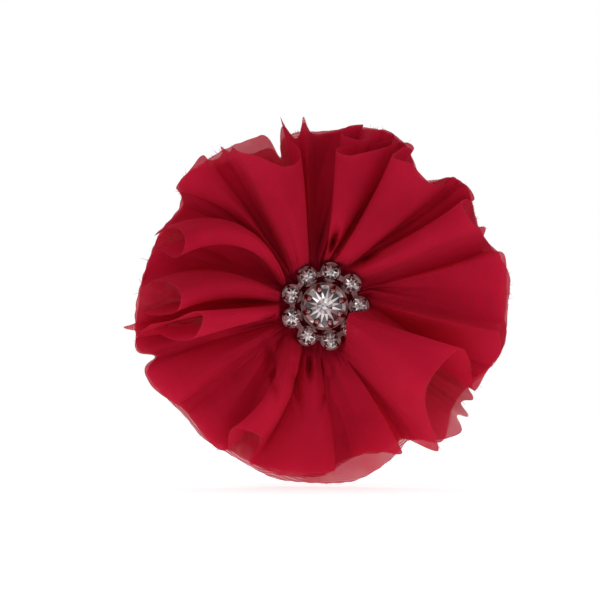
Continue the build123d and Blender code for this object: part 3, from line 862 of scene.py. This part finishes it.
def fray_mesh(name, grid, count, seed, material):
    """Loose yarn ends along the cut edge: thin bent tubes that leave it in small tufts."""
    rng = random.Random(seed)
    columns = len(grid)
    points, faces = [], []
    column = 0
    for _ in range(count):
        step = rng.choice((1, 1, 2)) if rng.random() < 0.8 else rng.randint(15, 110)
        column = (column + step) % columns
        end, before = grid[column, -1], grid[column, -4]
        outward = (end - before) / max(np.linalg.norm(end - before), 1e-6)
        beside = grid[(column + 1) % columns, -1] - end
        beside = beside / max(np.linalg.norm(beside), 1e-6)
        reach = min(rng.expovariate(3.4) + 0.2, FRAY_LONGEST)
        sway, curl = rng.uniform(-0.5, 0.5), rng.uniform(-0.9, 0.9)
        normal = np.cross(outward, beside)
        first = len(points)
        for joint in range(FRAY_JOINTS):
            t = joint / (FRAY_JOINTS - 1)
            centre = end - FRAY_ROOT * outward + outward * (reach + FRAY_ROOT) * t
            aside = beside * reach * (sway * t + curl * t * t)
            centre = centre + aside + normal * reach * 0.25 * curl * t * t
            radius = FRAY_RADIUS * (1 - 0.6 * t)
            for side in range(FRAY_SIDES):
                turn = TURN * side / FRAY_SIDES
                points.append(centre + radius * (math.cos(turn) * beside + math.sin(turn) * normal))
        for joint in range(FRAY_JOINTS - 1):
            for side in range(FRAY_SIDES):
                low = first + joint * FRAY_SIDES
                a, b = low + side, low + (side + 1) % FRAY_SIDES
                faces.append((a, b, b + FRAY_SIDES, a + FRAY_SIDES))
    mesh = bpy.data.meshes.new(name)
    mesh.from_pydata(to_frame(np.array(points)).tolist(), [], faces)
    mesh.shade_smooth()
    return link(mesh, name, material)


def make_ruffles():
    """The three gathered layers, each with its loose yarn ends."""
    yarn = yarn_material()
    top_cloth = chiffon("chiffon_top", (0.74, 0.014, 0.060, 1), (0.62, 0.010, 0.046, 1), 0.07)
    # The layers behind use the top chiffon made about 8% darker all over: painted shade for lying
    # behind the top layer.
    back_cloth_painted_shade = chiffon("chiffon_back_painted_shade", (0.68, 0.013, 0.055, 1), (0.56, 0.009, 0.042, 1), 0.09)
    layers = [
        ("ruffle_top", fold_rows(TOP_FOLDS), top_cloth),
        ("ruffle_middle", edge_rows(MIDDLE_EDGE), back_cloth_painted_shade),
        ("ruffle_bottom", edge_rows(BOTTOM_EDGE), back_cloth_painted_shade),
    ]
    for name, rows, cloth in layers:
        grid, length = ruffle_grid(rows, **SHAPES[name])
        grid = soften(grid, SOFTENING)
        if name == "ruffle_top":
            grid = tucked(grid)
        piece = cloth_mesh(name + "_cloth", grid, length, cloth)
        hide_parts(name)
        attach(piece, "flower")
        fray_seed = SHAPES[name]["seed"] + FRAY_SEED
        frays = fray_mesh(name + "_frays", grid, FRAYS[name], fray_seed, yarn)
        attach(frays, "flower")


# ---------------------------------------------------------------- the stones

# The facets' painted reflections: bright, silvery, dark and red tones painted into their colour in
# place of the light their foil sends back
BRIGHT_PAINTED_REFLECTION = (0.98, 0.87, 0.88)
SILVERY_PAINTED_REFLECTION = (0.42, 0.33, 0.34)
DARK_PAINTED_REFLECTION = (0.05, 0.032, 0.033)
RED_PAINTED_REFLECTION = (0.36, 0.12, 0.13)
# The flat table's edge and the crown's depth behind it, and a facet's greatest tilt, as shares
# of the stone's radius
TABLE_EDGE = 0.54
CROWN_DEPTH = 0.34
FACET_TILT = 0.035
# The centre stone's and the ring stones' folds, and their seeds
CENTRE_CUT = (16, 11)
RING_CUT = (8, 20)


def star_rings(fold):
    """Rings of corners on a stone's face: count, radius as a share of the stone's, and offset."""
    return [
        (1, 0.0, 0.0),
        (fold // 2, 0.16, 0.0),
        (fold, 0.38, 0.5),
        (fold, 0.85, 0.0),
        (2 * fold, 1.0, 0.0),
    ]


def make_stone(name, stone_node, fold, seed, material):
    """A cut stone: a star of facets under the table, a crown, a girdle and a point behind."""
    rng = random.Random(seed)
    low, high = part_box(stone_node)
    centre_x, centre_z = (low[0] + high[0]) / 2, (low[2] + high[2]) / 2
    radius = (high[0] - low[0]) / 2
    front, back = low[1], high[1]
    turn_by = rng.uniform(0, TURN / fold)
    points, rings = [], []
    for count, share, offset in star_rings(fold):
        ring = []
        for k in range(count):
            turn = turn_by + TURN * (k + offset) / count
            slope = max(0.0, share - TABLE_EDGE) / (1 - TABLE_EDGE) * CROWN_DEPTH * radius
            tilt = rng.uniform(0.0, FACET_TILT) * radius if 0 < share < 1 else 0
            ring.append(len(points))
            points.append((
                centre_x + radius * share * math.cos(turn),
                front + slope + tilt,
                centre_z + radius * share * math.sin(turn),
            ))
        rings.append(ring)
    culet = len(points)
    points.append((centre_x, back, centre_z))
    faces, tones = [], []

    # Each facet gets one painted reflection tone, made a little brighter or darker at random
    def add(corners, tone):
        faces.append(corners)
        shade = rng.uniform(0.75, 1.2)
        tones.append([min(1.0, c * shade) for c in tone])

    tip, hub, inner, outer, girdle = rings
    for k in range(len(hub)):
        add((tip[0], hub[k], hub[(k + 1) % len(hub)]), rng.choice((BRIGHT_PAINTED_REFLECTION, SILVERY_PAINTED_REFLECTION, DARK_PAINTED_REFLECTION)))
    for k in range(fold):
        a, b = inner[k], inner[(k + 1) % fold]
        near = hub[(k + 1) // 2 % len(hub)]
        following = hub[(k + 2) // 2 % len(hub)]
        add((a, b, near), SILVERY_PAINTED_REFLECTION if k % 2 else rng.choice((BRIGHT_PAINTED_REFLECTION, DARK_PAINTED_REFLECTION)))
        if following != near:
            add((near, b, following), rng.choice((BRIGHT_PAINTED_REFLECTION, SILVERY_PAINTED_REFLECTION)))
    for k in range(fold):
        c, n = outer[k], outer[(k + 1) % fold]
        before, here = inner[(k - 1) % fold], inner[k]
        wide = DARK_PAINTED_REFLECTION if rng.random() < 0.62 else SILVERY_PAINTED_REFLECTION
        add((here, c, n), wide)
        add((before, c, here), BRIGHT_PAINTED_REFLECTION if rng.random() < 0.8 else SILVERY_PAINTED_REFLECTION)
    for k in range(fold):
        a, m, b = girdle[2 * k], girdle[2 * k + 1], girdle[(2 * k + 2) % (2 * fold)]
        c, n = outer[k], outer[(k + 1) % fold]
        add((c, a, m), rng.choice((BRIGHT_PAINTED_REFLECTION, RED_PAINTED_REFLECTION, SILVERY_PAINTED_REFLECTION)))
        add((c, m, n), rng.choice((RED_PAINTED_REFLECTION, SILVERY_PAINTED_REFLECTION, DARK_PAINTED_REFLECTION)))
        add((n, m, b), rng.choice((BRIGHT_PAINTED_REFLECTION, SILVERY_PAINTED_REFLECTION, RED_PAINTED_REFLECTION)))
    for k in range(2 * fold):
        add((girdle[(k + 1) % (2 * fold)], girdle[k], culet), SILVERY_PAINTED_REFLECTION)
    mesh = bpy.data.meshes.new(name)
    mesh.from_pydata(points, [], faces)
    facet = mesh.attributes.new("facet", "FLOAT_COLOR", "CORNER")
    colours = [(*tone, 1.0) for face, tone in zip(faces, tones) for _ in face]
    facet.data.foreach_set("color", np.array(colours, np.float32).ravel())
    mesh.validate()
    stone = link(mesh, name, material)
    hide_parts(stone_node)
    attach(stone, "flower")


def make_stones():
    """The centre stone and the ring of small ones, each in its cup."""
    crystal = crystal_material()
    fold, seed = CENTRE_CUT
    make_stone("centre_crystal", "centre_stone", fold, seed, crystal)
    fold, seed = RING_CUT
    for number in range(1, RING_COUNT + 1):
        make_stone(f"ring_crystal_{number}", f"ring_stone_{number}", fold, seed + number, crystal)


# ---------------------------------------------------------------- the spring

# The wire and its coil in mm, as in the CAD, and the coil's step in degrees
COIL_RADIUS = 1.45
COIL_PITCH = 0.75
COIL_TURNS = 4
WIRE_RADIUS = 0.3
WIRE_SIDES = 12
BEND_STEP = 12
# The legs' ends, in mm from the pin: towards the thumb pads, and towards each lever's wall
LEG_REACH = -8.0
UPPER_LEG = 2.46
LOWER_LEG = -5.1045


def leaving_bearing(side, reach, rise):
    """Where a straight leg to that end leaves the coil, in degrees round the pin."""
    slant = math.degrees(math.acos(COIL_RADIUS / math.hypot(reach, rise)))
    return math.degrees(math.atan2(rise, reach)) - side * slant


def spring_route():
    """The wire's middle line in metres, from the jaw's leg round the pin to the arm's leg.

    With it come the pin's x and y, and where the coil ends along the pin.
    """
    low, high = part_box("hinge_pin")
    pin_x, pin_y = (low[0] + high[0]) / 2, (low[1] + high[1]) / 2
    first = leaving_bearing(-1, LEG_REACH, LOWER_LEG)
    turned = (leaving_bearing(1, LEG_REACH, UPPER_LEG) - first) % 360 + 360 * COIL_TURNS
    half_length = COIL_PITCH * turned / 720
    steps = round(turned / BEND_STEP)
    route = [(LEG_REACH, LOWER_LEG, half_length)]
    for step in range(steps + 1):
        bearing = math.radians(first + turned * step / steps)
        along = half_length * (1 - 2 * step / steps)
        route.append((COIL_RADIUS * math.cos(bearing), COIL_RADIUS * math.sin(bearing), along))
    route.append((LEG_REACH, UPPER_LEG, -half_length))
    places = [Vector((pin_x + x * MM, pin_y - rise * MM, z * MM)) for x, rise, z in route]
    return places, (pin_x, pin_y, (half_length - WIRE_RADIUS) * MM)


def wire_mesh(route):
    """A round wire along the points, closed at both ends."""
    points, faces = [], []
    normal = Vector((0, 0, 1))
    for k, place in enumerate(route):
        ahead = (route[min(k + 1, len(route) - 1)] - route[max(k - 1, 0)]).normalized()
        normal = (normal - ahead * normal.dot(ahead)).normalized()
        beside = ahead.cross(normal)
        for side in range(WIRE_SIDES):
            turn = TURN * side / WIRE_SIDES
            outward = math.cos(turn) * normal + math.sin(turn) * beside
            points.append(place + WIRE_RADIUS * MM * outward)
    for k in range(len(route) - 1):
        for side in range(WIRE_SIDES):
            a, b = k * WIRE_SIDES + side, k * WIRE_SIDES + (side + 1) % WIRE_SIDES
            faces.append((a, b, b + WIRE_SIDES, a + WIRE_SIDES))
    last = (len(route) - 1) * WIRE_SIDES
    faces.append(tuple(range(WIRE_SIDES))[::-1])
    faces.append(tuple(range(last, last + WIRE_SIDES)))
    mesh = bpy.data.meshes.new("spring_wire")
    mesh.from_pydata([tuple(point) for point in points], [], faces)
    mesh.shade_smooth()
    return mesh


def make_spring():
    """One bent wire round the pin, its legs reaching towards the arm and the jaw."""
    route, (pin_x, pin_y, coil_end) = spring_route()
    steel = plated_metal("spring_steel", (0.42, 0.41, 0.40, 1), (0.28, 0.27, 0.26, 1), 0.3, 2600)
    wire = link(wire_mesh(route), "spring_wire", steel)
    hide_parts("torsion_spring")
    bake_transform(wire)


# ---------------------------------------------------------------- the CAD pieces' finishes


def finish_cad_nodes():
    """Give every CAD node that still shows its own finish."""
    # Painted light on the jewel's silver: its red-tinted colour is a painted reflection of the red
    # cloth, and its near-black second tone is painted shade.
    silver_with_painted_light = plated_metal(
        "silver_plate", (0.50, 0.25, 0.25, 1), (0.07, 0.01, 0.013, 1), 0.14, 900, patch=640.0
    )
    nickel = plated_metal(
        "nickel_plate", (0.66, 0.64, 0.61, 1), (0.46, 0.44, 0.42, 1), 0.24, 1500, patch=220.0
    )
    steel = plated_metal("pin_steel", (0.66, 0.65, 0.64, 1), (0.48, 0.47, 0.46, 1), 0.28, 2200)
    felt = felt_material("red_felt", (0.36, 0.012, 0.03, 1), (0.17, 0.004, 0.012, 1))
    by_start = {
        "clip_": nickel,
        "hinge_pin": steel,
        "glue_": glue_material(),
        "felt_": felt,
        "gathering_thread": thread_material(),
        "jewel_base_plate": silver_with_painted_light,
        "centre_cup": silver_with_painted_light,
        "ring_cup": silver_with_painted_light,
        "ring_link": silver_with_painted_light,
    }
    for name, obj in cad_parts.items():
        for start, material in by_start.items():
            if name.startswith(start):
                for slot in obj.material_slots:
                    slot.material = material


def make_floor():
    """A plain floor just under the lowest petal."""
    level = min(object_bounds()[0].z, cad_low.z) - FLOOR_GAP
    corners = [
        (-FLOOR_REACH, -FLOOR_REACH), (FLOOR_REACH, -FLOOR_REACH),
        (FLOOR_REACH, FLOOR_REACH), (-FLOOR_REACH, FLOOR_REACH),
    ]
    mesh = bpy.data.meshes.new("floor")
    mesh.from_pydata([(x, y, level) for x, y in corners], [], [(0, 1, 2, 3)])
    floor = link(mesh, "floor", floor_material())


make_camera()
make_light()
make_ruffles()
make_stones()
make_spring()
finish_cad_nodes()
make_floor()
